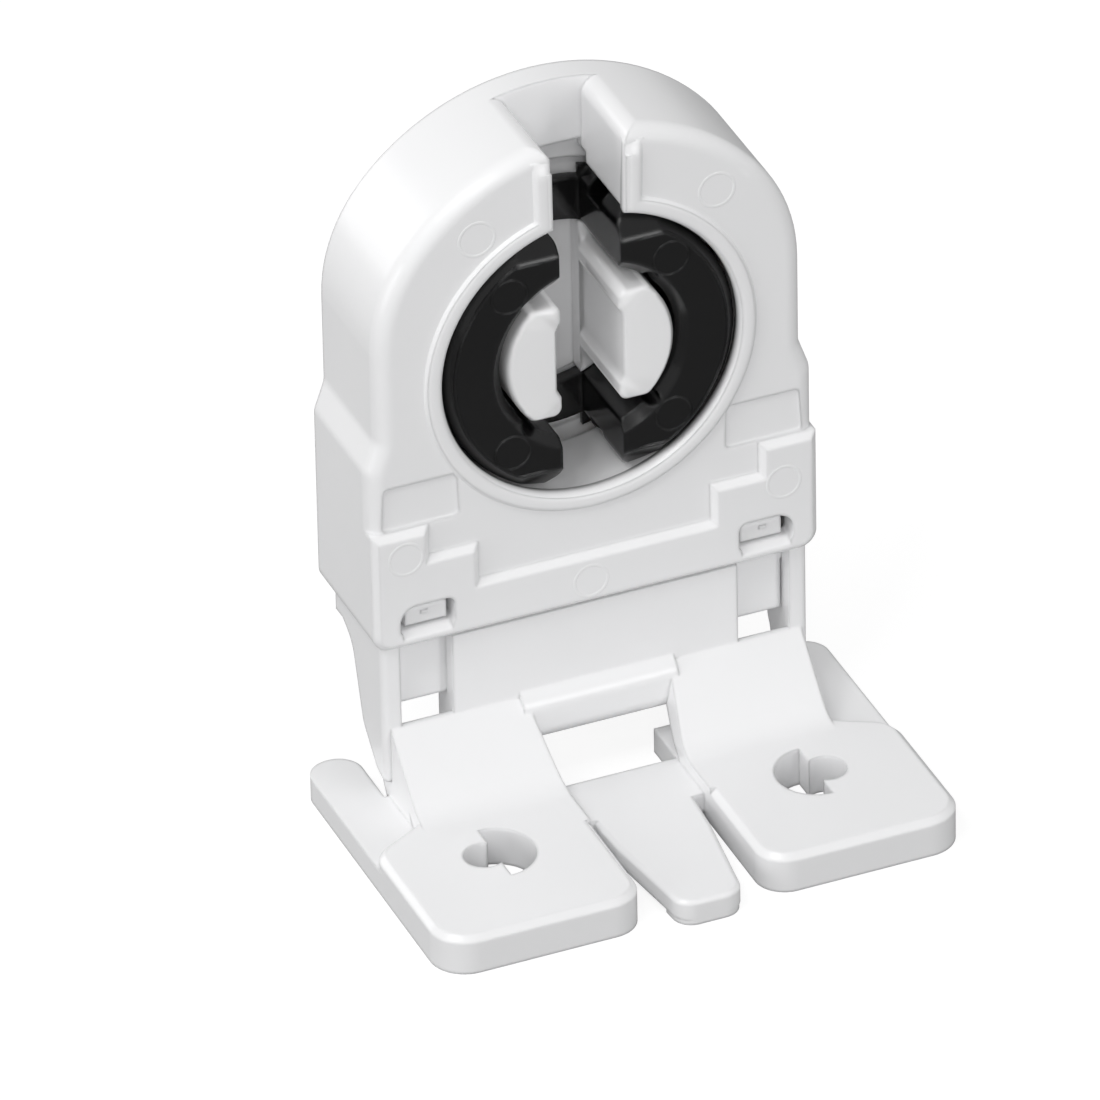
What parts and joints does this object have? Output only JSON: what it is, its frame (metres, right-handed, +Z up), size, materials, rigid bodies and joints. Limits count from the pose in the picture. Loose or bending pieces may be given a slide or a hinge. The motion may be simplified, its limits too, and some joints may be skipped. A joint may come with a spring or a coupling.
{
  "type": "fluorescent tube lamp holder",
  "caption": "Rotary lamp holder for a two-pin fluorescent tube: slotted black rotor in an arched white housing on a clip-in foot with side arms, keyed screw holes and a springy latch tongue.",
  "frame": {"origin": "middle of the bounding box, on the plane of the foot's underside", "axes": "+X to the right seen from the front, +Y from the rotor's face to the back, +Z up from the foot to the entry slot"},
  "size_m": [0.03, 0.0228, 0.04],
  "materials": {
    "housing_plastic": "semi-gloss moulded white",
    "cover_plastic": "satin moulded white",
    "rotor_plastic": "glossy moulded black",
    "core_plastic": "semi-gloss moulded white",
    "contact_bronze": "bare spring bronze",
    "foot_plastic": "semi-gloss moulded white"
  },
  "bodies": {
    "holder": {"front_housing": "housing_plastic", "rear_cover": "cover_plastic", "core": "core_plastic", "contact_right": "contact_bronze", "contact_left": "contact_bronze", "foot_bracket": "foot_plastic"},
    "turning_rotor": {"rotor": "rotor_plastic"}
  },
  "joints": [
    {"name": "rotor_turn", "type": "hinge", "parent": "holder", "child": "turning_rotor", "pos_m": [0, 0.0065, 0.02645], "axis": [0, 1, 0], "range_deg": [-90, 90]}
  ]
}
